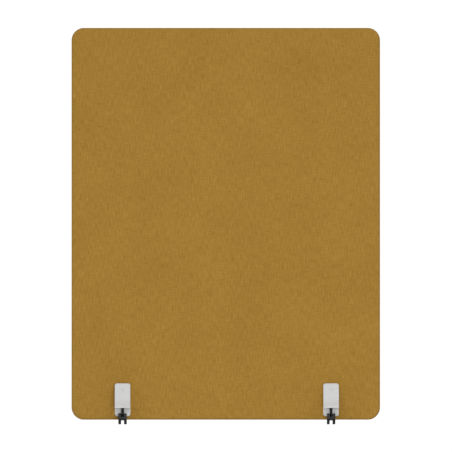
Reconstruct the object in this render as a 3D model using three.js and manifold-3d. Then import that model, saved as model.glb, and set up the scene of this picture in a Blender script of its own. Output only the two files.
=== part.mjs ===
// Desk privacy panel: a fabric-covered screen carried by two draw-screw desk clamps.
// Units are millimetres and +Z is up. The user sits at -Y and sees the front of the panel.
// The origin is on the panel's front face, at mid width, level with the top of the desk.
import * as THREE from 'three';
import { mergeVertices } from 'three/addons/utils/BufferGeometryUtils.js';
import Module from 'manifold-3d';

const wasm = await Module();
wasm.setup();

// ---- driving dimensions: panel ----
const panelWidth = 600;
const panelHeight = 762;
const panelDrop = 23.5; // how far the panel hangs below the desk's top
const panelThickness = 25;
const panelCornerRadius = 24;
const panelEdgeRadius = 5;
const coverThickness = 0.8;
const waddingDepth = 2.5;
const layerGap = 0.1; // between cover, wadding and frame
const seamGap = 0.3; // between the front and rear halves, at the edge seam
const topRailHeight = 45;
const bottomRailHeight = 80;
const stileWidth = 45;
const coreGap = 0.4;

// ---- driving dimensions: clamps ----
const leftClampX = -200.6;
const rightClampX = 204.6;
const clampWidth = 30;
const clampHeight = 64;
const clampTop = 47.4;
const clampCornerRadius = 4.5;
const plateThickness = 3;
const jawFaceHeight = 0.4; // the jaw block's underside, just above its pad
const jawReach = 42;
const jawLipHeight = 2;
const flareReach = 31;
const flareHeight = 14.4;
const blockTopReach = 18;
const padHalfWidth = 12.8;
const padBack = -22.8;
const padFront = -40.3;
const padRecessDepth = 1;
const fitGap = 0.2; // round a piece that is set in a recess
const crownRise = 1.5; // the small round along the block's top front edge
const crownRun = 0.6;
const legSlotSideGap = 0.35;
const legSlotFrontGap = 0.3;
const legSlotTopGap = 0.8;
const overcut = 1; // how far a cutter runs past the face that it opens

// ---- driving dimensions: lower jaw ----
const ribInside = 2.93;
const ribOutside = 8.1;
const ribTop = -12.5;
const ribBottom = -32.1;
const ribTipBottom = -22;
const ribBellyFront = -25;
const ribBack = -3.8;
const webTop = -17.5;
const webBottom = -24.4;
const webFront = -38;
const legHalfWidth = 2.6;
const legBack = -3.4;
const legFront = -9;
const legTop = 30.4;
const ribTipRise = 1.5; // the rounded tip under each rib, and the belly behind it
const ribTipRun = 1.3;
const ribTipFall = 0.8;
const ribBellyRun = 5;
const ribBellyRise = 1;
const clipReliefGap = 0.4;
const clipReliefHeight = 2;
const gripStripThickness = 1.5;
const gripStripWidth = 5;
const gripStripBack = -19;
const gripStripFront = -41;

// ---- driving dimensions: draw screw, its bush and its captive parts ----
const screwY = -15;
const screwRadius = 2.5;
const screwLength = 50;
const screwHeadRadius = 4.25;
const screwHeadHeight = 3.5;
const screwSocketAcross = 3;
const screwSocketDepth = 2;
const counterboreRadius = 4.6;
const counterboreTop = -19.8;
const washerThickness = 0.8;
const clipThickness = 0.7;
const clipRadius = 4.5;
const clipGap = 0.1;
const clipBoreGap = 0.15;
const washerBoreGap = 0.2;
const washerRim = 0.15; // how far the washer shows round the head
const screwChamfer = 0.5;
const screwTipGap = 1.2;
const screwBoreGap = 0.4;
const jawScrewGap = 0.3;
const bushBoreGap = 0.15;
const bushTopGap = 0.4;
const bushBarrelRadius = 4.5;
const bushBarrelTop = 12.4;
const bushFlangeRadius = 7.3;
const bushFlangeDome = 1.3;
const bushFlangeRim = 0.15;
const bushBoreRadius = 2.7;
const bushFlatY = -9.5;

// ---- driving dimensions: fixings through the panel ----
const fixingRadius = 2.5;
const fixingLength = 40;
const fixingHeadRadius = 5;
const fixingHeadDepth = 2.6;
const fixingHeadRecess = 0.1;
const upperFixingZ = 35.4;
const lowerFixingZ = 8;
const lowerFixingX = 9.5;
const sleeveRadius = 4;
const sleeveBoreRadius = 2.75;
const sleeveEndGap = 0.3;
const capRadius = 3;
const capDepth = 1.6;
const capProud = 0.15;
const capSeatGap = 0.1;
const fixingBoreGap = 0.1;
const fixingTipGap = 0.5;
const fixingHoleGap = 0.3;
const fixingChamfer = 0.6;
const fixingHeadRim = 0.3;
const countersinkGap = 0.6;

const roundSteps = 16;

// ---- materials ----
function finish(color, roughness, metalness) {
  return new THREE.MeshStandardMaterial({ color, roughness, metalness });
}
const coverCloth = finish(0xa17a35, 0.9, 0);
const waddingFleece = finish(0xe6e2d8, 1, 0);
const coreFelt = finish(0x6f7276, 0.95, 0);
const pineWood = finish(0xc9a271, 0.75, 0);
const whitePowderCoat = finish(0xd6d6d6, 0.45, 0);
const whiteElastomer = finish(0xd0d0ce, 0.7, 0);
const whitePlastic = finish(0xcfcfcf, 0.4, 0);
const blackCasting = finish(0x26262a, 0.5, 0);
const blackRubber = finish(0x1c1c1e, 0.85, 0);
const blackSteel = finish(0x2b2b2e, 0.4, 1);
const zincSteel = finish(0xb4b7ba, 0.35, 1);

// ---- solids ----
function solid(geometry) {
  const bare = new THREE.BufferGeometry();
  bare.setAttribute('position', geometry.getAttribute('position'));
  bare.setIndex(geometry.getIndex());
  const merged = mergeVertices(bare);
  return new wasm.Manifold(new wasm.Mesh({
    numProp: 3,
    vertProperties: merged.getAttribute('position').array,
    triVerts: new Uint32Array(merged.getIndex().array),
  }));
}

function named(name, shape, material) {
  const found = shape.getMesh();
  const geometry = new THREE.BufferGeometry();
  geometry.setAttribute('position', new THREE.BufferAttribute(found.vertProperties, 3));
  geometry.setIndex(new THREE.BufferAttribute(found.triVerts, 1));
  geometry.computeVertexNormals();
  const mesh = new THREE.Mesh(geometry, material);
  mesh.name = name;
  return mesh;
}

// A box between two opposite corners.
function block(low, high) {
  const size = high.map((value, axis) => value - low[axis]);
  const geometry = new THREE.BoxGeometry(...size);
  geometry.translate(...low.map((value, axis) => value + size[axis] / 2));
  return solid(geometry);
}

// A round bar along Z.
function uprightBar(x, y, radius, bottom, top, steps = roundSteps) {
  const geometry = new THREE.CylinderGeometry(radius, radius, top - bottom, steps);
  geometry.rotateX(Math.PI / 2);
  geometry.translate(x, y, (bottom + top) / 2);
  return solid(geometry);
}

// A round bar or cone along Y.
function crossBar(x, z, front, back, frontRadius, backRadius = frontRadius) {
  const geometry = new THREE.CylinderGeometry(backRadius, frontRadius, back - front, roundSteps);
  geometry.translate(x, (front + back) / 2, z);
  return solid(geometry);
}

// A closed (radius, height) profile turned round Z.
function turned(profile) {
  const geometry = new THREE.LatheGeometry(profile.map(([r, h]) => new THREE.Vector2(r, h)), roundSteps);
  geometry.rotateX(Math.PI / 2);
  return solid(geometry);
}

// A (y, z) side outline, extruded along X.
function sideProfile(shape, left, right) {
  const geometry = new THREE.ExtrudeGeometry(shape, {
    depth: right - left,
    bevelEnabled: false,
    curveSegments: 6,
  });
  geometry.translate(0, 0, left);
  geometry.applyMatrix4(new THREE.Matrix4().makeBasis(
    new THREE.Vector3(0, 1, 0),
    new THREE.Vector3(0, 0, 1),
    new THREE.Vector3(1, 0, 0),
  ));
  return solid(geometry);
}

function roundedRectangle(width, height, radius, centreZ) {
  const right = width / 2;
  const top = centreZ + height / 2;
  const bottom = centreZ - height / 2;
  const shape = new THREE.Shape();
  shape.absarc(right - radius, bottom + radius, radius, -Math.PI / 2, 0);
  shape.absarc(right - radius, top - radius, radius, 0, Math.PI / 2);
  shape.absarc(radius - right, top - radius, radius, Math.PI / 2, Math.PI);
  shape.absarc(radius - right, bottom + radius, radius, Math.PI, 1.5 * Math.PI);
  return shape;
}

// An (x, z) front outline, extruded from front to back with its arrises rounded by edgeRadius.
function slab(shape, front, back, edgeRadius = 0, curveSegments = 4) {
  const geometry = new THREE.ExtrudeGeometry(shape, {
    depth: back - front - 2 * edgeRadius,
    bevelEnabled: edgeRadius > 0,
    bevelThickness: edgeRadius,
    bevelSize: edgeRadius,
    bevelOffset: -edgeRadius,
    bevelSegments: 3,
    curveSegments,
  });
  geometry.translate(0, 0, edgeRadius - back);
  geometry.rotateX(Math.PI / 2);
  return solid(geometry);
}

// ---- panel ----
const panelCentreZ = panelHeight / 2 - panelDrop;
const panelMiddle = panelThickness / 2;
const coverOuter = 0;
const waddingOuter = coverThickness + layerGap;
const waddingInner = waddingOuter + waddingDepth;
const frameOuter = waddingInner + layerGap;

// The panel's own outline, shrunk by inset on every side and edge.
function panelSlab(inset) {
  const shape = roundedRectangle(
    panelWidth - 2 * inset,
    panelHeight - 2 * inset,
    panelCornerRadius - inset,
    panelCentreZ,
  );
  return slab(shape, inset, panelThickness - inset, panelEdgeRadius - inset);
}

// Where each clamp's three fixings cross the panel, from the clamp's centre line.
const fixings = [
  [0, upperFixingZ],
  [-lowerFixingX, lowerFixingZ],
  [lowerFixingX, lowerFixingZ],
];

function fixingHoles() {
  const holes = [];
  for (const clampX of [leftClampX, rightClampX]) {
    for (const [x, z] of fixings) {
      holes.push(crossBar(clampX + x, z, -overcut, panelThickness + overcut, sleeveRadius + seamGap));
    }
  }
  return holes;
}

function drilled(shape) {
  return fixingHoles().reduce((rest, hole) => rest.subtract(hole), shape);
}

// Half a hollow layer of the panel: everything in front of, or behind, the edge seam.
function halfLayer(outerInset, innerInset, isFront) {
  const low = isFront ? -overcut : panelMiddle + seamGap / 2;
  const high = isFront ? panelMiddle - seamGap / 2 : panelThickness + overcut;
  const half = block([-panelWidth, low, -panelHeight], [panelWidth, high, 2 * panelHeight]);
  return drilled(panelSlab(outerInset).subtract(panelSlab(innerInset)).intersect(half));
}

function makePanel() {
  const panel = new THREE.Group();
  const frameBlank = panelSlab(frameOuter);
  const frameSide = panelWidth / 2 - frameOuter;
  const frameBottom = -panelDrop + frameOuter;
  const frameTop = panelHeight - panelDrop - frameOuter;
  const railBottom = frameTop - topRailHeight;
  const railTop = frameBottom + bottomRailHeight;
  const stileInside = frameSide - stileWidth;
  const wide = panelWidth;
  const deep = panelThickness;

  const topRail = frameBlank.intersect(block([-wide, 0, railBottom], [wide, deep, frameTop + overcut]));
  const bottomRail = frameBlank.intersect(block([-wide, 0, frameBottom - overcut], [wide, deep, railTop]));
  const rightStile = frameBlank.intersect(block([stileInside, 0, railTop], [wide, deep, railBottom]));
  const leftStile = frameBlank.intersect(block([-wide, 0, railTop], [-stileInside, deep, railBottom]));
  const core = block(
    [coreGap - stileInside, frameOuter, railTop + coreGap],
    [stileInside - coreGap, panelThickness - frameOuter, railBottom - coreGap],
  );
  panel.add(named('frame_top_rail', topRail, pineWood));
  panel.add(named('frame_bottom_rail', drilled(bottomRail), pineWood));
  panel.add(named('frame_left_stile', leftStile, pineWood));
  panel.add(named('frame_right_stile', rightStile, pineWood));
  panel.add(named('acoustic_core', core, coreFelt));
  panel.add(named('front_wadding', halfLayer(waddingOuter, waddingInner, true), waddingFleece));
  panel.add(named('rear_wadding', halfLayer(waddingOuter, waddingInner, false), waddingFleece));
  panel.add(named('front_cover', halfLayer(coverOuter, coverThickness, true), coverCloth));
  panel.add(named('rear_cover', halfLayer(coverOuter, coverThickness, false), coverCloth));
  return panel;
}

// ---- clamp body: back plate and upper jaw, cast in one ----
const slopeAngle = Math.atan2(flareReach - blockTopReach, clampTop - flareHeight);
const capY = -(blockTopReach + (clampTop - upperFixingZ) * Math.tan(slopeAngle));
const boreTop = screwLength + counterboreTop - washerThickness + screwTipGap;
const fixingTip = panelThickness + plateThickness - fixingHeadRecess - fixingLength;

function clampOutline(front, back) {
  const outline = roundedRectangle(clampWidth, clampHeight, clampCornerRadius, clampTop - clampHeight / 2);
  return slab(outline, front, back, 0, 3);
}

// A disc lying square on the jaw's sloping face, sunk by depth and proud by the given height.
function slopeDisc(radius, depth, proud) {
  const geometry = new THREE.CylinderGeometry(radius, radius, depth + proud, roundSteps);
  geometry.translate(0, (depth - proud) / 2, 0);
  geometry.rotateX(-slopeAngle);
  geometry.translate(0, capY, upperFixingZ);
  return solid(geometry);
}

function clampBody() {
  const side = new THREE.Shape();
  side.moveTo(0, clampTop - clampHeight);
  side.lineTo(0, clampTop);
  side.lineTo(-(blockTopReach - crownRise), clampTop);
  side.quadraticCurveTo(-blockTopReach, clampTop, -(blockTopReach + crownRun), clampTop - crownRise);
  side.lineTo(-flareReach, flareHeight);
  side.lineTo(-jawReach, jawFaceHeight + jawLipHeight);
  side.lineTo(-jawReach, jawFaceHeight);
  side.lineTo(-plateThickness, jawFaceHeight);
  side.lineTo(-plateThickness, clampTop - clampHeight);
  side.closePath();
  let body = sideProfile(side, -clampWidth / 2, clampWidth / 2);
  body = body.intersect(clampOutline(-jawReach - overcut, overcut));

  const legSlot = block(
    [-legHalfWidth - legSlotSideGap, legFront - legSlotFrontGap, jawFaceHeight - overcut],
    [legHalfWidth + legSlotSideGap, -plateThickness, legTop + legSlotTopGap],
  );
  const padRecess = block(
    [-padHalfWidth - fitGap, padFront - fitGap, jawFaceHeight - overcut],
    [padHalfWidth + fitGap, padBack + fitGap, jawFaceHeight + padRecessDepth],
  );
  body = body.subtract(legSlot).subtract(padRecess);
  const mouth = jawFaceHeight - overcut;
  body = body.subtract(uprightBar(0, screwY, screwRadius + screwBoreGap, mouth, boreTop));
  const bushBore = bushBarrelRadius + bushBoreGap;
  body = body.subtract(uprightBar(0, screwY, bushBore, mouth, bushBarrelTop + bushTopGap));
  for (const [x, z] of fixings) {
    body = body.subtract(crossBar(x, z, fixingTip - fixingTipGap, overcut, fixingRadius + fixingBoreGap));
  }
  body = body.subtract(crossBar(0, upperFixingZ, capY, -fixingLength / 4, fixingRadius - 0.5));
  return body.subtract(slopeDisc(capRadius + fitGap, capDepth, 2));
}

function jawPad() {
  const low = [-padHalfWidth, padFront, 0];
  const high = [padHalfWidth, padBack, jawFaceHeight + padRecessDepth - capSeatGap];
  return block(low, high);
}

// ---- lower jaw: two ribs, a web between them and a guide leg behind the screw ----
function rib(left, right) {
  const side = new THREE.Shape();
  side.moveTo(ribBack, ribBottom);
  side.lineTo(ribBack, ribTop);
  side.lineTo(-jawReach, ribTop);
  side.lineTo(-jawReach, ribTipBottom + ribTipRise);
  side.quadraticCurveTo(-jawReach, ribTipBottom, ribTipRun - jawReach, ribTipBottom - ribTipFall);
  side.quadraticCurveTo(ribBellyFront - ribBellyRun, ribBottom + ribBellyRise, ribBellyFront, ribBottom);
  side.closePath();
  return sideProfile(side, left, right);
}

function lowerJaw() {
  const web = block([-ribInside - overcut, webFront, webBottom], [ribInside + overcut, ribBack, webTop]);
  const leg = block([-legHalfWidth, legFront, webTop - overcut], [legHalfWidth, legBack, legTop]);
  let jaw = rib(-ribOutside, -ribInside).add(rib(ribInside, ribOutside)).add(web).add(leg);
  const under = webBottom - overcut;
  jaw = jaw.subtract(uprightBar(0, screwY, screwRadius + jawScrewGap, under, webTop + overcut));
  jaw = jaw.subtract(uprightBar(0, screwY, counterboreRadius, under, counterboreTop));
  return jaw.subtract(uprightBar(0, screwY, clipRadius + clipReliefGap, webTop, webTop + clipReliefHeight));
}

function gripStrip(centreX) {
  const half = gripStripWidth / 2;
  const low = [centreX - half, gripStripFront, ribTop];
  const high = [centreX + half, gripStripBack, ribTop + gripStripThickness];
  return block(low, high);
}

// ---- draw screw and what holds it ----
const headTop = counterboreTop - washerThickness;
const headBottom = headTop - screwHeadHeight;
const screwTip = headTop + screwLength;
const clipBottom = webTop + clipGap;
const grooveRadius = screwRadius - 0.5;

function drawScrew() {
  const chamfer = screwChamfer;
  const screw = turned([
    [0, headBottom],
    [screwHeadRadius - chamfer, headBottom],
    [screwHeadRadius, headBottom + chamfer],
    [screwHeadRadius, headTop],
    [screwRadius, headTop],
    [screwRadius, clipBottom - clipGap / 2],
    [grooveRadius, clipBottom - clipGap / 2],
    [grooveRadius, clipBottom + clipThickness + clipGap / 2],
    [screwRadius, clipBottom + clipThickness + clipGap / 2],
    [screwRadius, screwTip - chamfer],
    [screwRadius - chamfer, screwTip],
    [0, screwTip],
  ]);
  const socketRadius = screwSocketAcross / Math.sqrt(3);
  const socket = uprightBar(0, 0, socketRadius, headBottom - overcut, headBottom + screwSocketDepth, 6);
  return screw.subtract(socket).translate([0, screwY, 0]);
}

function screwWasher() {
  const disc = uprightBar(0, screwY, screwHeadRadius + washerRim, headTop, counterboreTop);
  const boreRadius = screwRadius + washerBoreGap;
  const hole = uprightBar(0, screwY, boreRadius, headTop - overcut, counterboreTop + overcut);
  return disc.subtract(hole);
}

// An E-clip: a flat ring with a mouth that faces forwards.
function retainingClip() {
  const ring = uprightBar(0, screwY, clipRadius, clipBottom, clipBottom + clipThickness);
  const mouth = block(
    [fitGap - grooveRadius, screwY - clipRadius - overcut, clipBottom - overcut],
    [grooveRadius - fitGap, screwY, clipBottom + clipThickness + overcut],
  );
  const boreRadius = grooveRadius + clipBoreGap;
  const hole = uprightBar(0, screwY, boreRadius, clipBottom - overcut, clipBottom + 2 * overcut);
  return ring.subtract(hole).subtract(mouth);
}

// A threaded bush whose domed flange bears on the jaw's underside; its flat keeps clear of the guide leg.
function screwBush() {
  const domeSteps = 5;
  const rim = bushFlangeRim;
  const profile = [];
  for (let step = 0; step <= domeSteps; step += 1) {
    const r = bushBoreRadius + (bushFlangeRadius - bushBoreRadius) * step / domeSteps;
    const fall = (r / bushFlangeRadius) ** 2;
    profile.push([r, jawFaceHeight - rim - (bushFlangeDome - rim) * (1 - fall)]);
  }
  profile.push([bushFlangeRadius, jawFaceHeight]);
  profile.push([bushBarrelRadius, jawFaceHeight]);
  profile.push([bushBarrelRadius, bushBarrelTop]);
  profile.push([bushBoreRadius, bushBarrelTop]);
  profile.push(profile[0]);
  const bush = turned(profile).translate([0, screwY, 0]);
  const wide = 2 * bushFlangeRadius;
  return bush.subtract(block([-wide, bushFlatY, -wide], [wide, 0, 2 * wide]));
}

// ---- rear plate and fixings ----
function rearPlate() {
  let plate = clampOutline(panelThickness, panelThickness + plateThickness);
  const back = panelThickness + plateThickness;
  const holeRadius = fixingRadius + fixingHoleGap;
  const mouth = fixingHeadRadius + countersinkGap;
  for (const [x, z] of fixings) {
    plate = plate.subtract(crossBar(x, z, panelThickness - overcut, back + overcut, holeRadius));
    plate = plate.subtract(crossBar(x, z, back - fixingHeadDepth, back + 0.01, holeRadius, mouth));
  }
  return plate;
}

// A countersunk screw that enters from behind the panel.
function fixingScrew(x, z) {
  const back = panelThickness + plateThickness - fixingHeadRecess;
  const neck = back - fixingHeadDepth;
  const tip = fixingTip;
  const chamfer = fixingChamfer;
  const profile = [
    [0, tip],
    [fixingRadius - chamfer, tip],
    [fixingRadius, tip + chamfer],
    [fixingRadius, neck],
    [fixingHeadRadius, back - fixingHeadRim],
    [fixingHeadRadius, back],
    [0, back],
  ];
  const bar = new THREE.LatheGeometry(profile.map(([r, y]) => new THREE.Vector2(r, y)), roundSteps);
  const socketRadius = screwSocketAcross / Math.sqrt(3);
  const socket = new THREE.CylinderGeometry(socketRadius, socketRadius, 2 * screwSocketDepth, 6);
  socket.translate(0, back, 0);
  return solid(bar).subtract(solid(socket)).translate([x, 0, z]);
}

function sleeve(x, z) {
  const front = sleeveEndGap;
  const back = panelThickness - sleeveEndGap;
  const bore = crossBar(x, z, front - overcut, back + overcut, sleeveBoreRadius);
  return crossBar(x, z, front, back, sleeveRadius).subtract(bore);
}

function makeClamp(side, centreX) {
  const clamp = new THREE.Group();
  const stripX = (ribInside + ribOutside) / 2;
  clamp.position.x = centreX;
  clamp.add(named(`${side}_clamp_body`, clampBody(), whitePowderCoat));
  clamp.add(named(`${side}_jaw_pad`, jawPad(), whiteElastomer));
  clamp.add(named(`${side}_hole_cap`, slopeDisc(capRadius, capDepth - capSeatGap, capProud), whitePlastic));
  clamp.add(named(`${side}_screw_bush`, screwBush(), blackSteel));
  clamp.add(named(`${side}_lower_jaw`, lowerJaw(), blackCasting));
  clamp.add(named(`${side}_grip_strip_1`, gripStrip(-stripX), blackRubber));
  clamp.add(named(`${side}_grip_strip_2`, gripStrip(stripX), blackRubber));
  clamp.add(named(`${side}_draw_screw`, drawScrew(), blackSteel));
  clamp.add(named(`${side}_screw_washer`, screwWasher(), zincSteel));
  clamp.add(named(`${side}_retaining_clip`, retainingClip(), blackSteel));
  clamp.add(named(`${side}_rear_plate`, rearPlate(), whitePowderCoat));
  fixings.forEach(([x, z], index) => {
    clamp.add(named(`${side}_fixing_screw_${index + 1}`, fixingScrew(x, z), zincSteel));
    clamp.add(named(`${side}_sleeve_${index + 1}`, sleeve(x, z), zincSteel));
  });
  return clamp;
}

const deskPrivacyPanel = new THREE.Group();
deskPrivacyPanel.add(makePanel());
deskPrivacyPanel.add(makeClamp('left', leftClampX));
deskPrivacyPanel.add(makeClamp('right', rightClampX));

export default deskPrivacyPanel;
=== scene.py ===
# A desk privacy panel: an upholstered screen that two draw-screw clamps hold on the edge of a desk.
# Metres, +Z up, the person at the desk sits at -Y. The file goes through the pieces as they are put together:
# studio, frame and core, covers, wadding and seam, then each piece of the clamps from the panel outwards.
import math

import bmesh
import bpy
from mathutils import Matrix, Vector, noise


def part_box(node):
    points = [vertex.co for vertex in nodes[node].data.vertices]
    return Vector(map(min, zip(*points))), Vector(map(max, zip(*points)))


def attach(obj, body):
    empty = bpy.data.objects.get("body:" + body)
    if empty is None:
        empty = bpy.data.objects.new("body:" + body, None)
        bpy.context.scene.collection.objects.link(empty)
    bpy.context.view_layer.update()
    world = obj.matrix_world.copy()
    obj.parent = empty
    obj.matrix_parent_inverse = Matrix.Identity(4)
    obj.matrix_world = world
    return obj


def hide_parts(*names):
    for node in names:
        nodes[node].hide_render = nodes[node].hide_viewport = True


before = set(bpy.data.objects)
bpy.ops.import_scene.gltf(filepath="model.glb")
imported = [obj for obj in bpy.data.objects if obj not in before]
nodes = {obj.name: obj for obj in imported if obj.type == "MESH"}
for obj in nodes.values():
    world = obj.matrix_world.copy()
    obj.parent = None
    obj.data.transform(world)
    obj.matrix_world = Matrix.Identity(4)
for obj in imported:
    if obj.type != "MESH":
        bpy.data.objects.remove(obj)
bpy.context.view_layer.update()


# ------------------------------------------------------------
# Studio. The screen hangs on a desk's edge, so the pale floor lies a desk's height below it. A long lens
# looks squarely at the front. Broad soft lights stand above to the left, low in front, and behind.
desk_height = 0.74
view_width = 0.8790
view_centre = Vector((0.0004, 0, 0.3532))
lens_length = 1000
sensor_width = 36

bpy.ops.object.select_all(action="DESELECT")
bpy.ops.object.camera_add(
    location=view_centre + Vector((0, -view_width * lens_length / sensor_width, 0)),
    rotation=(math.radians(90), 0, 0),
)
camera = bpy.context.object
camera.data.lens = lens_length
camera.data.sensor_width = sensor_width
camera.data.clip_end = 200
bpy.context.scene.camera = camera
bpy.context.scene.view_settings.view_transform = "Standard"


def soft_light(place, target, size, watts):
    bpy.ops.object.light_add(type="AREA", location=place)
    lamp = bpy.context.object
    lamp.data.shape = "DISK"
    lamp.data.size = size
    lamp.data.energy = watts
    lamp.rotation_euler = (Vector(target) - Vector(place)).to_track_quat("-Z", "Y").to_euler()
    return lamp


soft_light((-1.0, -2.4, 3.2), view_centre, 2.2, 9)
soft_light((0.2, -3.0, 0.05), view_centre, 1.3, 36)
soft_light((1.8, 2.6, 2.4), view_centre, 2.0, 24)


def new_material(name, color, roughness, metallic=0.0):
    """A material with its Principled shader ready for the nodes that a section adds."""
    made = bpy.data.materials.new(name)
    made.use_nodes = True
    shader = made.node_tree.nodes["Principled BSDF"]
    shader.inputs["Base Color"].default_value = (*color, 1)
    shader.inputs["Roughness"].default_value = roughness
    shader.inputs["Metallic"].default_value = metallic
    return made


def add_node(made, kind, settings=None, **values):
    """A node in a material or a group, with its settings and the values of its inputs."""
    tree = made.node_tree if hasattr(made, "node_tree") else made
    node = tree.nodes.new(kind)
    for key, value in (settings or {}).items():
        setattr(node, key, value)
    for key, value in values.items():
        node.inputs[key.replace("_", " ")].default_value = value
    return node


def wire(made, source, target):
    tree = made.node_tree if hasattr(made, "node_tree") else made
    tree.links.new(source, target)


def paint(piece, made):
    piece.data.materials.clear()
    piece.data.materials.append(made)


def glow(made, strength, from_light, from_camera):
    """Sets a strength that is one value for the light it gives, and another for how bright it looks."""
    seen = add_node(made, "ShaderNodeLightPath")
    dimmer = add_node(made, "ShaderNodeMapRange", To_Min=from_light, To_Max=from_camera)
    wire(made, seen.outputs["Is Camera Ray"], dimmer.inputs["Value"])
    wire(made, dimmer.outputs["Result"], strength)


world = bpy.data.worlds.new("white_studio")
bpy.context.scene.world = world
world.use_nodes = True
sky = world.node_tree.nodes["Background"]
sky.inputs["Color"].default_value = (1, 1, 1, 1)
glow(world, sky.inputs["Strength"], 0.645, 1.05)

bpy.ops.mesh.primitive_plane_add(size=60, location=(0, 0, -desk_height))
floor = bpy.context.object
floor.name = "pale_floor"
floor_paint = new_material("pale_floor", (0.52, 0.52, 0.52), 1.0)
floor_shader = floor_paint.node_tree.nodes["Principled BSDF"]
floor_shader.inputs["Specular IOR Level"].default_value = 0.0
floor_shader.inputs["Emission Color"].default_value = (1, 1, 1, 1)
glow(floor_paint, floor_shader.inputs["Emission Strength"], 0.0, 0.75)

# From underneath the floor is clear, so that the screen's underside can be seen.
underside = add_node(floor_paint, "ShaderNodeNewGeometry")
clear = add_node(floor_paint, "ShaderNodeBsdfTransparent")
either = add_node(floor_paint, "ShaderNodeMixShader")
wire(floor_paint, underside.outputs["Backfacing"], either.inputs["Fac"])
wire(floor_paint, floor_shader.outputs["BSDF"], either.inputs[1])
wire(floor_paint, clear.outputs["BSDF"], either.inputs[2])
wire(floor_paint, either.outputs["Shader"], floor_paint.node_tree.nodes["Material Output"].inputs["Surface"])
paint(floor, floor_paint)


# ------------------------------------------------------------
# Frame: two pine rails and two stiles, 18 mm thick, planed, with their outer arrises eased and glued at the
# butt joints. They stay as the CAD made them, under the upholstery.
def tone_ramp(made, low, dark, high, light):
    """A ramp from a dark tone at one value to a light one at another."""
    ramp = add_node(made, "ShaderNodeValToRGB")
    for stop, position, color in zip(ramp.color_ramp.elements, (low, high), (dark, light)):
        stop.position = position
        stop.color = (*color, 1)
    return ramp


def add_relief(made, height, strength, distance):
    """Bumps a material's surface by a height."""
    bump = add_node(made, "ShaderNodeBump", Strength=strength, Distance=distance)
    wire(made, height, bump.inputs["Height"])
    wire(made, bump.outputs["Normal"], made.node_tree.nodes["Principled BSDF"].inputs["Normal"])


def pine_material():
    made = new_material("planed_pine", (0.60, 0.38, 0.18), 0.7)
    place = add_node(made, "ShaderNodeTexCoord")
    stretch = add_node(made, "ShaderNodeMapping", Scale=(2.0, 30.0, 90.0))
    rings = add_node(made, "ShaderNodeTexNoise", Scale=1.0, Detail=6.0, Distortion=0.6)
    tone = tone_ramp(made, 0.35, (0.42, 0.22, 0.09), 0.7, (0.66, 0.44, 0.22))
    shader = made.node_tree.nodes["Principled BSDF"]
    wire(made, place.outputs["Object"], stretch.inputs["Vector"])
    wire(made, stretch.outputs["Vector"], rings.inputs["Vector"])
    wire(made, rings.outputs["Fac"], tone.inputs["Fac"])
    wire(made, tone.outputs["Color"], shader.inputs["Base Color"])
    return made


pine = pine_material()
for member in ("frame_top_rail", "frame_bottom_rail", "frame_left_stile", "frame_right_stile"):
    paint(nodes[member], pine)


# ------------------------------------------------------------
# Core: a board of pressed polyester felt that fills the frame and deadens sound. It is grey, with pale
# and dark fibres all through it.
def felt_material(name, dark, light, fibre):
    made = new_material(name, light, 0.95)
    place = add_node(made, "ShaderNodeTexCoord")
    fibres = add_node(made, "ShaderNodeTexNoise", Scale=fibre, Detail=8.0, Roughness=0.8)
    tone = tone_ramp(made, 0.38, dark, 0.64, light)
    shader = made.node_tree.nodes["Principled BSDF"]
    wire(made, place.outputs["Object"], fibres.inputs["Vector"])
    wire(made, fibres.outputs["Fac"], tone.inputs["Fac"])
    wire(made, tone.outputs["Color"], shader.inputs["Base Color"])
    add_relief(made, fibres.outputs["Fac"], 0.6, 0.0006)
    return made


paint(nodes["acoustic_core"], felt_material("pressed_felt", (0.09, 0.10, 0.11), (0.26, 0.27, 0.28), 700))


# ------------------------------------------------------------
# Covers: a front and a rear sheet of mustard upholstery cloth, stretched over the board and sewn together
# along the middle of its edge. The cloth is a plain weave of uneven, slubbed yarns, punched for the fixings.
cover_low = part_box("front_cover")[0]
cover_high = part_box("rear_cover")[1]
panel_middle = (cover_low.y + cover_high.y) / 2
corner_radius = 0.024
edge_radius = 0.005
cloth_thickness = 0.0008
seam_half_gap = 0.0003
seam_fold = 0.0012
cloth_grid = 0.024
cloth_splits = 3
same_place = 0.000001


def select_only(piece):
    bpy.ops.object.select_all(action="DESELECT")
    piece.select_set(True)
    bpy.context.view_layer.objects.active = piece


def settle_in_mesh(piece):
    """Puts a piece's place, turn and size into its mesh."""
    select_only(piece)
    bpy.ops.object.transform_apply(location=True, rotation=True, scale=True)
    return piece


def block(name, low, high):
    """A new box between two opposite corners."""
    low = Vector(low)
    high = Vector(high)
    bpy.ops.object.select_all(action="DESELECT")
    bpy.ops.mesh.primitive_cube_add(size=1, location=(low + high) / 2, scale=high - low)
    bpy.context.object.name = name
    return settle_in_mesh(bpy.context.object)


def start_editing(piece):
    """Edit mode on one piece alone, by vertices, with all of it selected."""
    select_only(piece)
    bpy.ops.object.mode_set(mode="EDIT")
    bpy.ops.mesh.select_mode(type="VERT")
    bpy.ops.mesh.select_all(action="SELECT")


def select_mesh():
    bpy.ops.mesh.select_all(action="SELECT")


def stop_editing():
    bpy.ops.object.mode_set(mode="OBJECT")


def face_out():
    """In edit mode, turns every face outwards."""
    select_mesh()
    bpy.ops.mesh.normals_make_consistent(inside=False)


def choose(piece, kind, accepts):
    """In edit mode, selects just the vertices, edges or faces that accepts() says yes to."""
    bpy.ops.mesh.select_all(action="DESELECT")
    bpy.ops.mesh.select_mode(type=kind)
    shape = bmesh.from_edit_mesh(piece.data)
    shape.normal_update()
    for part in {"VERT": shape.verts, "EDGE": shape.edges, "FACE": shape.faces}[kind]:
        part.select = bool(accepts(part))
    shape.select_flush_mode()
    bmesh.update_edit_mesh(piece.data)


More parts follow.
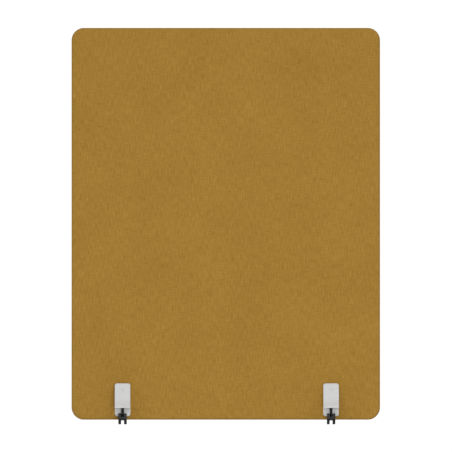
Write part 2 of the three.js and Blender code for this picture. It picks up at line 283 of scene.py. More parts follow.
def runs_along(edge, axis):
    """Is this edge parallel to X (0), Y (1) or Z (2)?"""
    run = edge.verts[1].co - edge.verts[0].co
    return run.length > 1e-7 and abs(run[axis]) > 0.9999 * run.length


def apply_modifier(piece, kind, **settings):
    made = piece.modifiers.new(kind.lower(), kind)
    for key, value in settings.items():
        setattr(made, key, value)
    select_only(piece)
    bpy.ops.object.modifier_apply(modifier=made.name)


def slice_across(axis, place, normal_sign=1, **clearing):
    """In edit mode, cuts the whole mesh by the plane square to an axis at a place."""
    spot = [0, 0, 0]
    spot[axis] = place
    normal = [0, 0, 0]
    normal[axis] = normal_sign
    select_mesh()
    bpy.ops.mesh.bisect(plane_co=spot, plane_no=normal, threshold=same_place, **clearing)


def cloth_half(name, front):
    """One cover: half of a round-cornered slab, open at the seam, its edge folded in, and gridded."""
    outward = -1 if front else 1
    seam_y = panel_middle + outward * seam_half_gap
    face_y = cover_low.y if front else cover_high.y
    piece = block(name, cover_low, cover_high)
    start_editing(piece)
    choose(piece, "EDGE", lambda edge: runs_along(edge, 1))
    bpy.ops.mesh.bevel(offset=corner_radius, segments=12, affect="EDGES")
    slice_across(1, seam_y, -outward, clear_outer=True, use_fill=False)
    choose(piece, "EDGE", lambda edge: all(abs(corner.co.y - face_y) < same_place for corner in edge.verts))
    bpy.ops.mesh.bevel(offset=edge_radius, segments=6, affect="EDGES")

    # The raw edge turns in at the seam, and the front's allowance closes the groove behind both folds.
    choose(piece, "EDGE", lambda edge: edge.is_boundary)
    bpy.ops.mesh.extrude_region_move()
    bpy.ops.transform.shrink_fatten(value=-seam_fold)
    if front:
        bpy.ops.mesh.extrude_region_move(TRANSFORM_OT_translate={"value": (0, 4 * seam_half_gap, 0)})

    def on_fold(corner):
        return abs(corner.co.y - seam_y) < same_place and outline_normal(corner.co)[0] < 10 * same_place

    choose(piece, "EDGE", lambda edge: all(on_fold(corner) for corner in edge.verts))
    bpy.ops.mesh.bevel(offset=0.8 * seam_fold, segments=4, affect="EDGES")

    for axis in (0, 2):
        steps = math.ceil((cover_high[axis] - cover_low[axis]) / cloth_grid)
        pitch = (cover_high[axis] - cover_low[axis]) / steps
        for step in range(1, steps):
            slice_across(axis, cover_low[axis] + step * pitch)
    choose(piece, "EDGE", lambda edge: edge.calc_length() > cloth_grid / 3)
    bpy.ops.mesh.subdivide(number_cuts=cloth_splits)
    slice_across(1, face_y - outward * 1.6 * edge_radius)
    stop_editing()
    return piece


def outline_normal(place):
    """How far a point lies inside the panel's rounded outline, and the way out from it."""
    inner_low = cover_low + Vector((corner_radius, 0, corner_radius))
    inner_high = cover_high - Vector((corner_radius, 0, corner_radius))
    reach = Vector((
        place.x - min(max(place.x, inner_low.x), inner_high.x),
        0,
        place.z - min(max(place.z, inner_low.z), inner_high.z),
    ))
    if reach.length < 1e-9:
        return corner_radius, Vector((0, 0, 0))
    return corner_radius - reach.length, reach.normalized()


def ease(low, high, value):
    """0 below low, 1 above high, and a smooth rise between them."""
    share = min(1, max(0, (value - low) / (high - low)))
    return share * share * (3 - 2 * share)


def bar(name, start, end, radius, end_radius=None, sides=40):
    """A round bar or cone between two points."""
    start = Vector(start)
    end = Vector(end)
    run = end - start
    bpy.ops.object.select_all(action="DESELECT")
    bpy.ops.mesh.primitive_cone_add(
        vertices=sides, radius1=radius, radius2=radius if end_radius is None else end_radius,
        depth=run.length, location=(start + end) / 2, rotation=run.to_track_quat("Z", "Y").to_euler(),
    )
    bpy.context.object.name = name
    return settle_in_mesh(bpy.context.object)


def carve(piece, *cutters, operation="DIFFERENCE", solver="EXACT"):
    """Cuts the cutters out of a piece, or joins or keeps them, and clears them away."""
    for cutter in cutters:
        apply_modifier(piece, "BOOLEAN", operation=operation, solver=solver, object=cutter)
        bpy.data.objects.remove(cutter)


sleeve_boxes = [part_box(f"{side}_sleeve_{number}") for side in ("left", "right") for number in (1, 2, 3)]
sleeve_hole_gap = 0.0003


def punch_for_sleeves(piece):
    """Cuts a clearance hole for each fixing's sleeve, all with one punch."""
    pins = []
    for low, high in sleeve_boxes:
        middle = (low + high) / 2
        reach = Vector((0, high.y - low.y, 0))
        radius = (high.x - low.x) / 2 + sleeve_hole_gap
        pins.append(bar("pin", middle - reach, middle + reach, radius, sides=24))
    for pin in pins:
        pin.select_set(True)
    bpy.ops.object.join()
    carve(piece, bpy.context.object, solver="FAST")


def lay_threads(piece, front):
    """UVs in metres that follow the yarns over the face, round its edge and down to the seam."""
    face_y = cover_low.y if front else cover_high.y
    threads = piece.data.uv_layers.new(name="threads")
    laid = []
    for corner in piece.data.vertices:
        inside, outward = outline_normal(corner.co)
        deep = abs(corner.co.y - face_y)
        run = 0
        if deep > 1e-7 or inside < edge_radius:
            turn = math.atan2(edge_radius - inside, edge_radius - min(deep, edge_radius))
            run = edge_radius * turn + max(0, deep - edge_radius) - (edge_radius - inside)
        laid.append((corner.co.x + outward.x * run, corner.co.z + outward.z * run))
    for loop in piece.data.loops:
        threads.data[loop.index].uv = laid[loop.vertex_index]


plate_boxes = {
    True: [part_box("left_clamp_body"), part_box("right_clamp_body")],
    False: [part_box("left_rear_plate"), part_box("right_rear_plate")],
}
wadding_swell = 0.0006
swell_unevenness = 0.25
swell_width = 0.032
plate_dimple_width = 0.016
seam_valley = 0.0005


def swell_cloth(piece, front):
    """The wadding lifts the cloth a little off the face, except where the clamps' plates press it down."""
    outward = -1 if front else 1
    face_y = cover_low.y if front else cover_high.y
    for corner in piece.data.vertices:
        inside, out = outline_normal(corner.co)
        deep = abs(corner.co.y - face_y)
        if deep < edge_radius:
            lift = wadding_swell * ease(0, swell_width, inside)
            lift *= 1 + swell_unevenness * noise.noise(Vector((corner.co.x, 0, corner.co.z)) * 22)
            for low, high in plate_boxes[front]:
                gap = Vector((
                    max(low.x - corner.co.x, 0, corner.co.x - high.x),
                    0,
                    max(low.z - corner.co.z, 0, corner.co.z - high.z),
                )).length
                lift *= ease(-0.001, plate_dimple_width, gap)
            corner.co.y += outward * lift
        else:
            sunk = seam_valley * ease(edge_radius, panel_middle, deep)
            corner.co -= out * sunk


yarn_wander = 0.7
yarn_swing = 0.42
yarn_step = 0.83


def new_group(name, inputs, outputs):
    """A node group with its sockets, and the nodes that its inputs come from and its outputs go to."""
    group = bpy.data.node_groups.new(name, "ShaderNodeTree")
    for in_out, sockets in (("INPUT", inputs), ("OUTPUT", outputs)):
        for socket, kind in sockets.items():
            group.interface.new_socket(socket, in_out=in_out, socket_type=f"NodeSocket{kind}")
    return group, group.nodes.new("NodeGroupInput"), group.nodes.new("NodeGroupOutput")


def cloth_weave():
    """A node group: plain weave in metres. Tone varies yarn by yarn, Height stands the yarns up."""
    weave, entry, result = new_group(
        "plain_weave", {"Threads": "Vector", "Pitch": "Float"}, {"Tone": "Float", "Height": "Float"}
    )

    def noise_of(x, x_scale, y, y_scale, detail=2.0):
        place = add_node(weave, "ShaderNodeCombineXYZ")
        wire(weave, calc("MULTIPLY", x, x_scale), place.inputs["X"])
        wire(weave, calc("MULTIPLY", y, y_scale), place.inputs["Y"])
        made = add_node(weave, "ShaderNodeTexNoise", {"noise_dimensions": "2D"}, Scale=1.0, Detail=detail)
        wire(weave, place.outputs["Vector"], made.inputs["Vector"])
        return made.outputs["Fac"]

    def calc(operation, *values):
        return calculate(weave, operation, *values)

    split = add_node(weave, "ShaderNodeSeparateXYZ")
    wire(weave, entry.outputs["Threads"], split.inputs["Vector"])
    across = split.outputs["X"]
    along = split.outputs["Y"]
    wander = add_node(weave, "ShaderNodeTexNoise", {"noise_dimensions": "2D"}, Scale=150.0, Detail=1.0)
    wire(weave, entry.outputs["Threads"], wander.inputs["Vector"])
    drift = calc("MULTIPLY", calc("SUBTRACT", wander.outputs["Fac"], 0.5), yarn_wander)
    u = calc("ADD", calc("DIVIDE", across, entry.outputs["Pitch"]), drift)
    v = calc("SUBTRACT", calc("DIVIDE", along, entry.outputs["Pitch"]), drift)
    warp_number = calc("FLOOR", u)
    weft_number = calc("FLOOR", v)

    def rounded(position, number):
        off_centre = calc("SUBTRACT", calc("SUBTRACT", position, number), 0.5)
        return calc("SUBTRACT", 1, calc("MULTIPLY", 4, calc("MULTIPLY", off_centre, off_centre)))

    def over_under(position, number, swing):
        wave = calc("SINE", calc("MULTIPLY", math.pi, calc("ADD", position, number)))
        return calc("ADD", 1 - yarn_swing, calc("MULTIPLY", swing, wave))

    warp = calc("MULTIPLY", rounded(u, warp_number), over_under(v, warp_number, yarn_swing))
    weft = calc("MULTIPLY", rounded(v, weft_number), over_under(u, weft_number, -yarn_swing))
    height = calc("MAXIMUM", warp, weft)

    warp_tone = noise_of(warp_number, yarn_step, along, 75)
    weft_tone = noise_of(across, 80, weft_number, yarn_step)
    slub = noise_of(across, 560, along, 60, 3.0)
    weft_slub = noise_of(across, 55, along, 600)
    broad = noise_of(across, 11, along, 10)
    tone = 0.5
    for part, share in ((warp_tone, 0.75), (weft_tone, 0.45), (slub, 1.1), (weft_slub, 0.65), (broad, 0.32)):
        tone = calc("ADD", tone, calc("MULTIPLY", calc("SUBTRACT", part, 0.5), share))
    wire(weave, tone, result.inputs["Tone"])
    wire(weave, height, result.inputs["Height"])
    return weave


def calculate(made, operation, *values):
    """A Math node on numbers and sockets; gives back its output."""
    node = add_node(made, "ShaderNodeMath", {"operation": operation})
    for position, value in enumerate(values):
        if isinstance(value, (int, float)):
            node.inputs[position].default_value = value
        else:
            wire(made, value, node.inputs[position])
    return node.outputs["Value"]


def mix_colors(made, factor, first, second, blend="MIX"):
    """A colour Mix node on colours and sockets; gives back its output."""
    node = add_node(made, "ShaderNodeMix", {"data_type": "RGBA", "blend_type": blend})
    for socket, value in ((node.inputs[0], factor), (node.inputs[6], first), (node.inputs[7], second)):
        if isinstance(value, (int, float)):
            socket.default_value = value
        elif isinstance(value, tuple):
            socket.default_value = (*value, 1)
        else:
            wire(made, value, socket)
    return node.outputs[2]


plain_weave = cloth_weave()
cloth_pitch = 0.001
cloth_color = (0.392, 0.211, 0.0295)


def cloth_material(name, color):
    made = new_material(name, color, 0.85)
    shader = made.node_tree.nodes["Principled BSDF"]
    shader.inputs["Sheen Weight"].default_value = 0.08
    shader.inputs["Sheen Roughness"].default_value = 0.5
    shader.inputs["Specular IOR Level"].default_value = 0.2
    threads = add_node(made, "ShaderNodeUVMap", {"uv_map": "threads"})
    weave = add_node(made, "ShaderNodeGroup", {"node_tree": plain_weave}, Pitch=cloth_pitch)
    wire(made, threads.outputs["UV"], weave.inputs["Threads"])
    dark = tuple(channel * 0.80 - 0.006 for channel in color)
    light = tuple(channel * 1.18 + 0.012 for channel in color)
    yarn = mix_colors(made, weave.outputs["Tone"], dark, light)
    # Painted shade and highlight: the yarn colour is multiplied darker in the low gaps between the yarns and
    # a little lighter on their raised crowns, following the weave's Height.
    gap = add_node(made, "ShaderNodeMapRange", From_Min=0.15, From_Max=0.75, To_Min=0.62, To_Max=1.08)
    wire(made, weave.outputs["Height"], gap.inputs["Value"])
    yarn_with_painted_gap_shade = mix_colors(made, 1.0, yarn, gap.outputs["Result"], "MULTIPLY")
    wire(made, yarn_with_painted_gap_shade, shader.inputs["Base Color"])
    fuzz = add_node(made, "ShaderNodeTexNoise", Scale=5200.0, Detail=2.0)
    wire(made, threads.outputs["UV"], fuzz.inputs["Vector"])
    fluff = calculate(made, "MULTIPLY", fuzz.outputs["Fac"], 0.3)
    relief = calculate(made, "ADD", weave.outputs["Height"], fluff)
    add_relief(made, relief, 0.45, 0.00025)
    return made


def settle(piece, made, body, slot_name, *stands_for):
    """Gives a finished piece its material, the body it moves with, and the CAD nodes it stands for."""
    paint(piece, made)
    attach(piece, body)
    if stands_for:
        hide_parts(*stands_for)
    return piece


mustard_cloth = cloth_material("mustard_cloth", cloth_color)


def stretched_cloth(face, front):
    """A cover as it lies on the wadding, still a surface without thickness."""
    cover = cloth_half(f"{face}_cloth", front)
    lay_threads(cover, front)
    swell_cloth(cover, front)
    return cover


def thicken(piece, thickness):
    """Gives a stretched surface its thickness inwards, and punches it."""
    apply_modifier(piece, "SOLIDIFY", thickness=thickness, offset=-1)
    punch_for_sleeves(piece)
    select_only(piece)
    bpy.ops.object.shade_smooth_by_angle(angle=math.radians(50))
    return piece


for face, front in (("front", True), ("rear", False)):
    cover = thicken(stretched_cloth(face, front), cloth_thickness)
    settle(cover, mustard_cloth, "panel", "cover_cloth", f"{face}_cover")


# ------------------------------------------------------------
# Wadding: white polyester fleece pressed down by the cover, wrapped over the frame's front and back so that
# the board's edges feel soft. Each layer follows its cover's inside and is cut short of the seam's folds.
fleece_thickness = 0.0022
fleece_gap = 0.00005
fleece_margin = 0.0022
fleece_unevenness = 0.00012


def fleece_layer(face, front):
    outward = -1 if front else 1
    layer = stretched_cloth(face, front)
    layer.name = f"{face}_fleece"
    start_editing(layer)
    slice_across(1, panel_middle + outward * fleece_margin, -outward, clear_outer=True, use_fill=False)
    select_mesh()
    bpy.ops.transform.shrink_fatten(value=-cloth_thickness - fleece_gap)
    stop_editing()
    for corner in layer.data.vertices:
        corner.co -= corner.normal * fleece_unevenness * (1 + noise.noise(corner.co * 60))
    return thicken(layer, fleece_thickness)


fleece = felt_material("white_fleece", (0.62, 0.61, 0.57), (0.82, 0.81, 0.78), 260)
for face, front in (("front", True), ("rear", False)):
    layer = fleece_layer(face, front)
    settle(layer, fleece, "panel", "wadding_fleece", f"{face}_wadding")


# ------------------------------------------------------------
# Seam stitches: one row of mustard upholstery thread, each stitch a short slanted bead that crosses the
# groove between the two covers and draws them together, all the way round the panel's edge.
stitch_pitch = 0.0042
stitch_span = 0.0021
thread_radius = 0.00022
stitch_slant = math.radians(24)
stitch_inset = 0.00045


def sewn_seam():
    bpy.ops.object.select_all(action="DESELECT")
    half = Vector((cover_high.x - cover_low.x, 0, cover_high.z - cover_low.z)) / 2
    middle = Vector((0, panel_middle, (cover_low.z + cover_high.z) / 2))
    bpy.ops.mesh.primitive_plane_add(size=2, location=middle, rotation=(math.radians(90), 0, 0))
    path = bpy.context.object
    path.scale = (half.x - stitch_inset, half.z - stitch_inset, 1)
    settle_in_mesh(path)
    start_editing(path)
    bpy.ops.mesh.bevel(offset=corner_radius - stitch_inset, segments=16, affect="VERTICES")
    select_mesh()
    bpy.ops.mesh.delete(type="ONLY_FACE")
    stop_editing()
    length = sum(
        (path.data.vertices[edge.vertices[0]].co - path.data.vertices[edge.vertices[1]].co).length
        for edge in path.data.edges
    )
    bpy.ops.object.convert(target="CURVE")

    bpy.ops.mesh.primitive_uv_sphere_add(segments=6, ring_count=5, radius=thread_radius)
    stitch = bpy.context.object
    stitch.name = "seam_stitches"
    stitch.scale = (1, 1, stitch_span / 2 / thread_radius)
    stitch.rotation_euler = (math.radians(90), 0, stitch_slant)
    settle_in_mesh(stitch)
    count = round(length / stitch_pitch)
    apply_modifier(
        stitch, "ARRAY", count=count, use_relative_offset=False, use_constant_offset=True,
        constant_offset_displace=(length / count, 0, 0),
    )
    apply_modifier(stitch, "CURVE", object=path, deform_axis="POS_X")
    bpy.data.objects.remove(path)
    select_only(stitch)
    bpy.ops.object.shade_smooth()
    return stitch


def thread_material():
    made = new_material("mustard_thread", (0.30, 0.16, 0.030), 0.7)
    shader = made.node_tree.nodes["Principled BSDF"]
    place = add_node(made, "ShaderNodeTexCoord")
    ply_relief_and_shade = add_node(made, "ShaderNodeTexWave", {"bands_direction": "DIAGONAL"}, Scale=900.0)
    wire(made, place.outputs["Object"], ply_relief_and_shade.inputs["Vector"])
    # Painted shade: the thread is coloured darker in the grooves between its plies and lighter on their tops,
    # on the same bands that make its relief.
    tone = mix_colors(made, ply_relief_and_shade.outputs["Fac"], (0.21, 0.11, 0.02), (0.36, 0.195, 0.036))
    wire(made, tone, shader.inputs["Base Color"])
    add_relief(made, ply_relief_and_shade.outputs["Fac"], 0.5, 0.0001)
    return made


settle(sewn_seam(), thread_material(), "panel", "cover_cloth")


# ------------------------------------------------------------
# Clamp castings: a back plate and a hollow-sided upper jaw die-cast in one, then powder-coated white. Three
# screws from the rear hold it on the board; the lower jaw's leg slides in a slot up its inside.
left_low, left_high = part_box("left_clamp_body")
right_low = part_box("right_clamp_body")[0]
clamp_x = (left_low.x + left_high.x) / 2
across_to_right = right_low.x - left_low.x
casting_half_width = 0.015
casting_corner = 0.0045
plate_thickness = 0.003
block_top_reach = 0.018
flare_reach = 0.031
flare_height = 0.0144
jaw_reach = 0.042
lip_height = 0.0024
jaw_face = 0.0004
casting_top = left_high.z
casting_bottom = left_low.z


def trace(name, outline, axis, low, high):
    """A prism: a point drawn out round a closed outline, filled, and drawn along an axis from low to high."""
    first_axis, second_axis = ((1, 2), (2, 0), (0, 1))[axis]

    def place(point):
        spot = Vector((0, 0, 0))
        spot[first_axis] = point[0]
        spot[second_axis] = point[1]
        spot[axis] = low
        return spot

    spot = place(outline[0])
    bpy.ops.object.select_all(action="DESELECT")
    bpy.ops.mesh.primitive_plane_add(size=0.001, location=spot)
    piece = settle_in_mesh(bpy.context.object)
    piece.name = name
    start_editing(piece)
    bpy.ops.mesh.merge(type="CENTER")
    for point in outline[1:]:
        onward = place(point)
        bpy.ops.mesh.extrude_region_move(TRANSFORM_OT_translate={"value": onward - spot})
        spot = onward
    select_mesh()
    bpy.ops.mesh.edge_face_add()
    draw = Vector((0, 0, 0))
    draw[axis] = high - low
    bpy.ops.mesh.extrude_region_move(TRANSFORM_OT_translate={"value": draw})
    face_out()
    stop_editing()
    return piece


def round_edges(piece, accepts, radius, segments):
    start_editing(piece)
    choose(piece, "EDGE", accepts)
    bpy.ops.mesh.bevel(offset=radius, segments=segments, affect="EDGES")
    stop_editing()


def ease_arrises(piece, radius, segments=3, angle=32):
    """Rounds every edge that turns more than the angle."""
    apply_modifier(
        piece, "BEVEL", width=radius, segments=segments, limit_method="ANGLE",
        angle_limit=math.radians(angle), miter_outer="MITER_ARC", use_clamp_overlap=True,
    )


def smooth_shade(piece, angle=40):
    """Smooth shading that keeps flat faces flat and sharp edges sharp."""
    select_only(piece)
    bpy.ops.object.shade_smooth_by_angle(angle=math.radians(angle))
    apply_modifier(piece, "WEIGHTED_NORMAL", keep_sharp=True, weight=60)
    return piece


def merge_doubles(piece):
    start_editing(piece)
    bpy.ops.mesh.remove_doubles(threshold=10 * same_place)
    stop_editing()


def upright_bar(name, low, high, radius):
    """A bar on the draw screw's axis."""
    return bar(name, (clamp_x, screw_y, low), (clamp_x, screw_y, high), radius)


def rounded_plate(name, low, high, radius):
    """A plate whose four edges along Y are rounded."""
    piece = block(name, low, high)
    round_edges(piece, lambda edge: runs_along(edge, 1), radius, 10)
    return piece


def bend_between(start, corner, end, steps):
    """Points on a smooth bend from start to end that leaves and arrives along the corner's two sides."""
    points = []
    for step in range(steps + 1):
        share = step / steps
        near = [a + (b - a) * share for a, b in zip(start, corner)]
        far = [a + (b - a) * share for a, b in zip(corner, end)]
        points.append(tuple(a + (b - a) * share for a, b in zip(near, far)))
    return points


slope = math.atan2(flare_reach - block_top_reach, casting_top - flare_height)
fixing_spots = ((0, 0.0354), (-0.0095, 0.008), (0.0095, 0.008))
screw_y = -0.015
leg_slot_half = 0.00295
leg_slot_front = -0.0093
leg_slot_top = 0.0312
pad_half_width = 0.0128
pad_back = -0.0228
pad_front = -0.0403
pad_recess = 0.001
piece_gap = 0.0002
cap_radius = 0.003
cap_hole = 0.00312
cap_depth = 0.0016
casting_round = 0.0006
bush_bore_top = 0.0128
screw_bore_top = 0.0306
driver_hole_depth = 0.01
fixing_bore_depth = 0.0126
overcut = 0.001
cap_y = -(block_top_reach + (casting_top - fixing_spots[0][1]) * math.tan(slope))
cap_centre = Vector((clamp_x, cap_y, fixing_spots[0][1]))
slope_out = Vector((0, -math.cos(slope), math.sin(slope)))


def clamp_casting():
    crown = bend_between(
        (-(block_top_reach - 0.0015), casting_top),
        (-block_top_reach - 0.0001, casting_top),
        (-(block_top_reach + 0.0006), casting_top - 0.0015),
        6,
    )
    along_slope = Vector((-math.sin(slope), -math.cos(slope)))
    flare_run = Vector((flare_reach - jaw_reach, lip_height - flare_height)).normalized()
    turn = Vector((-flare_reach, flare_height))
    flare = bend_between(turn - along_slope * 0.006, turn, turn + flare_run * 0.006, 8)
    outline = [(0, casting_bottom), (0, casting_top), *crown, *flare]
    outline += [(-jaw_reach, lip_height), (-jaw_reach, jaw_face)]
    outline += [(-plate_thickness, jaw_face), (-plate_thickness, casting_bottom)]
    left_side = clamp_x - casting_half_width
    right_side = clamp_x + casting_half_width
    piece = trace("left_clamp_casting", outline, 0, left_side, right_side)
    front = rounded_plate(
        "front_outline",
        (left_side, -jaw_reach - 10 * overcut, casting_bottom),
        (right_side, 10 * overcut, casting_top),
        casting_corner,
    )
    carve(piece, front, operation="INTERSECT")
    merge_doubles(piece)
    ease_arrises(piece, casting_round)
    carve(
        piece,
        block(
            "slot",
            (clamp_x - leg_slot_half, leg_slot_front, jaw_face - overcut),
            (clamp_x + leg_slot_half, -plate_thickness, leg_slot_top),
        ),
        block(
            "recess",
            (clamp_x - pad_half_width - piece_gap, pad_front - piece_gap, jaw_face - overcut),
            (clamp_x + pad_half_width + piece_gap, pad_back + piece_gap, jaw_face + pad_recess),
        ),
        upright_bar("bush_bore", jaw_face - overcut, bush_bore_top, 0.00465),
        upright_bar("screw_bore", bush_bore_top / 2, screw_bore_top, 0.0029),
        bar("cap_recess", cap_centre - slope_out * cap_depth, cap_centre + slope_out * 0.004, cap_hole),
        bar("driver_hole", cap_centre, (clamp_x, -driver_hole_depth, cap_centre.z), 0.002),
    )
    for x, z in fixing_spots:
        bore_end = (clamp_x + x, -fixing_bore_depth, z)
        carve(piece, bar("fixing_bore", bore_end, (clamp_x + x, overcut, z), 0.0026))
    return smooth_shade(piece)


def surface_grain():
    """A node group: the fine relief of a moulded, cast or coated surface, and a slow drift in its tone."""
    grain, entry, result = new_group(
        "surface_grain",
        {"Fine Scale": "Float", "Coarse Scale": "Float", "Coarse Share": "Float"},
        {"Height": "Float", "Drift": "Float"},
    )
    place = add_node(grain, "ShaderNodeTexCoord")
    fine = add_node(grain, "ShaderNodeTexNoise", Detail=3.0)
    coarse = add_node(grain, "ShaderNodeTexNoise", Detail=2.0)
    drift = add_node(grain, "ShaderNodeTexNoise", Scale=60.0, Detail=3.0)
    wire(grain, entry.outputs["Fine Scale"], fine.inputs["Scale"])
    wire(grain, entry.outputs["Coarse Scale"], coarse.inputs["Scale"])
    for texture in (fine, coarse, drift):
        wire(grain, place.outputs["Object"], texture.inputs["Vector"])
    swell = calculate(grain, "MULTIPLY", coarse.outputs["Fac"], entry.outputs["Coarse Share"])
    wire(grain, calculate(grain, "ADD", fine.outputs["Fac"], swell), result.inputs["Height"])
    wire(grain, drift.outputs["Fac"], result.inputs["Drift"])
    return grain


fine_grain = surface_grain()


def grained_material(
    name, dark, light, rough, scales, relief, metallic=0.0, coarse_share=0.5, gloss_level=0.5
):
    """A material whose colour and gloss drift between two values over a fine relief of the given height."""
    made = new_material(name, light, rough[1], metallic)
    shader = made.node_tree.nodes["Principled BSDF"]
    grain = add_node(
        made, "ShaderNodeGroup", {"node_tree": fine_grain},
        Fine_Scale=scales[0], Coarse_Scale=scales[1], Coarse_Share=coarse_share,
    )
    tone = mix_colors(made, grain.outputs["Drift"], dark, light)
    wire(made, tone, shader.inputs["Base Color"])
    gloss = add_node(made, "ShaderNodeMapRange", From_Min=0.3, From_Max=0.7, To_Min=rough[0], To_Max=rough[1])
    wire(made, grain.outputs["Drift"], gloss.inputs["Value"])
    wire(made, gloss.outputs["Result"], shader.inputs["Roughness"])
    shader.inputs["Specular IOR Level"].default_value = gloss_level
    add_relief(made, grain.outputs["Height"], 0.5, relief)
    return made


powder_coat = grained_material(
    "white_powder_coat", (0.615, 0.615, 0.61), (0.645, 0.645, 0.64), (0.38, 0.50), (1500, 500), 0.00004
)


def both_clamps(left_piece, made, part_name, slot_name, moving=None):
    """Settles a left piece, and a copy of it on the right, on the panel or on each clamp's moving part."""
    right_piece = left_piece.copy()
    right_piece.data = left_piece.data.copy()
    right_piece.name = left_piece.name.replace("left", "right")
    bpy.context.scene.collection.objects.link(right_piece)
    right_piece.location.x = across_to_right
    settle_in_mesh(right_piece)
    for side, piece in (("left", left_piece), ("right", right_piece)):
        body = "panel" if moving is None else f"{side}_{moving}"
        settle(piece, made, body, slot_name, f"{side}_{part_name}")
    return left_piece, right_piece


both_clamps(clamp_casting(), powder_coat, "clamp_body", "clamp_white")


# ------------------------------------------------------------
# Jaw pads: white elastomer, set in a shallow recess under each upper jaw, with cross grooves that grip
# the desk's top without marking it.
pad_bottom, pad_top = (corner.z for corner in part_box("left_jaw_pad"))
pad_groove_count = 7
pad_groove_depth = 0.0003


def comb(name, low, high, count, face_z, depth):
    """A flat pad with cross grooves: its grooved face is sliced into strips and every other one pushed in."""
    piece = block(name, low, high)
    round_edges(piece, lambda edge: runs_along(edge, 2), 0.0008, 5)
    start_editing(piece)
    strip = (high[1] - low[1]) / (2 * count + 1)
    for step in range(1, 2 * count + 1):
        slice_across(1, low[1] + step * strip)

    def is_groove(face):
        middle = face.calc_center_median()
        step = int((middle.y - low[1]) / strip)
        return abs(middle.z - face_z) < same_place and step % 2 == 1

    choose(piece, "FACE", is_groove)
    inward = depth if face_z == low[2] else -depth
    bpy.ops.mesh.extrude_region_move(TRANSFORM_OT_translate={"value": (0, 0, inward)})
    stop_editing()
    return piece


jaw_pad = comb(
    "left_jaw_pad_ribbed",
    (clamp_x - pad_half_width, pad_front, pad_bottom),
    (clamp_x + pad_half_width, pad_back, pad_top),
    pad_groove_count,
    pad_bottom,
    pad_groove_depth,
)
ease_arrises(jaw_pad, 0.00012, 2)
white_elastomer = grained_material(
    "white_elastomer", (0.56, 0.56, 0.545), (0.62, 0.62, 0.605), (0.62, 0.75), (2600, 700), 0.00003
)
both_clamps(smooth_shade(jaw_pad), white_elastomer, "jaw_pad", "pad_white")


# ------------------------------------------------------------
# Hole caps: white plastic discs, pressed into the recess on each upper jaw's sloping face over the hole
# that the driver for the top fixing goes through.
cap_proud = 0.00015
cap = bar(
    "left_hole_cap_disc",
    cap_centre - slope_out * (cap_depth - 0.0001),
    cap_centre + slope_out * cap_proud,
    cap_radius,
)
ease_arrises(cap, 0.00015, 3)
white_plastic = grained_material(
    "white_plastic", (0.565, 0.565, 0.56), (0.61, 0.61, 0.605), (0.30, 0.40), (1800, 400), 0.00002
)
both_clamps(smooth_shade(cap), white_plastic, "hole_cap", "cap_white")


# ------------------------------------------------------------
# Screw bushes: turned steel, blackened, pressed up into the upper jaw. Each has a thin domed flange with
# one flat, which clears the leg's slot, and the draw screw threads through it.
bush_low, bush_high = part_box("left_screw_bush")
bush_barrel_radius = 0.0045
bush_flange_radius = 0.0073
bush_bore_radius = 0.0027
bush_flat_y = -0.0095


def profile_line(name, profile):
    """A closed (radius, height) profile as edges alone, in the plane Y = 0, left in edit mode."""
    piece = trace(name, [(height, radius) for radius, height in profile], 1, 0, overcut)
    start_editing(piece)
    choose(piece, "VERT", lambda corner: corner.co.y > overcut / 2)
    bpy.ops.mesh.delete(type="VERT")
    select_mesh()
    bpy.ops.mesh.delete(type="ONLY_FACE")
    return piece


def turned(name, profile, centre=(0, 0, 0), steps=48):
    """A solid turned about an upright axis from a closed (radius, height) profile."""
    piece = profile_line(name, profile)
    select_mesh()
    bpy.ops.mesh.spin(steps=steps, angle=math.tau, center=(0, 0, 0), axis=(0, 0, 1))
    select_mesh()
    bpy.ops.mesh.remove_doubles(threshold=2 * same_place)
    bpy.ops.mesh.delete_loose()
    face_out()
    stop_editing()
    piece.location = centre
    return settle_in_mesh(piece)


def screw_bush():
    dome = bend_between(
        (bush_flange_radius, jaw_face - 0.0003),
        (bush_flange_radius - 0.002, bush_low.z),
        (bush_bore_radius + 0.0005, bush_low.z),
        6,
    )
    profile = [(bush_bore_radius, bush_high.z), (bush_barrel_radius - 0.0003, bush_high.z)]
    profile += [(bush_barrel_radius, bush_high.z - 0.0003), (bush_barrel_radius, jaw_face)]
    profile += [(bush_flange_radius, jaw_face), *dome, (bush_bore_radius, bush_low.z + 0.0004)]
    piece = turned("left_screw_bush_turned", profile, (clamp_x, screw_y, 0))
    start_editing(piece)
    slice_across(1, bush_flat_y, clear_outer=True, use_fill=True)
    stop_editing()
    return smooth_shade(piece, 35)


black_oxide = grained_material(
    "blackened_steel", (0.030, 0.030, 0.032), (0.090, 0.090, 0.095), (0.34, 0.52), (2500, 600), 0.00001, 0.9
)
both_clamps(screw_bush(), black_oxide, "screw_bush", "screw_black")


# ------------------------------------------------------------
# Lower jaws: two ribs joined by a web, with a flat leg that slides in the upper jaw's slot and keeps them
# from turning. Each is one zinc casting, coated black, with fillets in its corners.
rib_inside = 0.00293
rib_outside = 0.0081
rib_top = -0.0125
rib_bottom = -0.0321
rib_tip_bottom = -0.022
rib_belly_front = -0.025
rib_back = -0.0038
web_top = -0.0175
web_bottom = -0.0244
web_front = -0.038
leg_half_width = 0.0026
leg_back = -0.0034
leg_front = -0.009
leg_top = 0.0304
counterbore_top = -0.0198
web_fillet = 0.0008


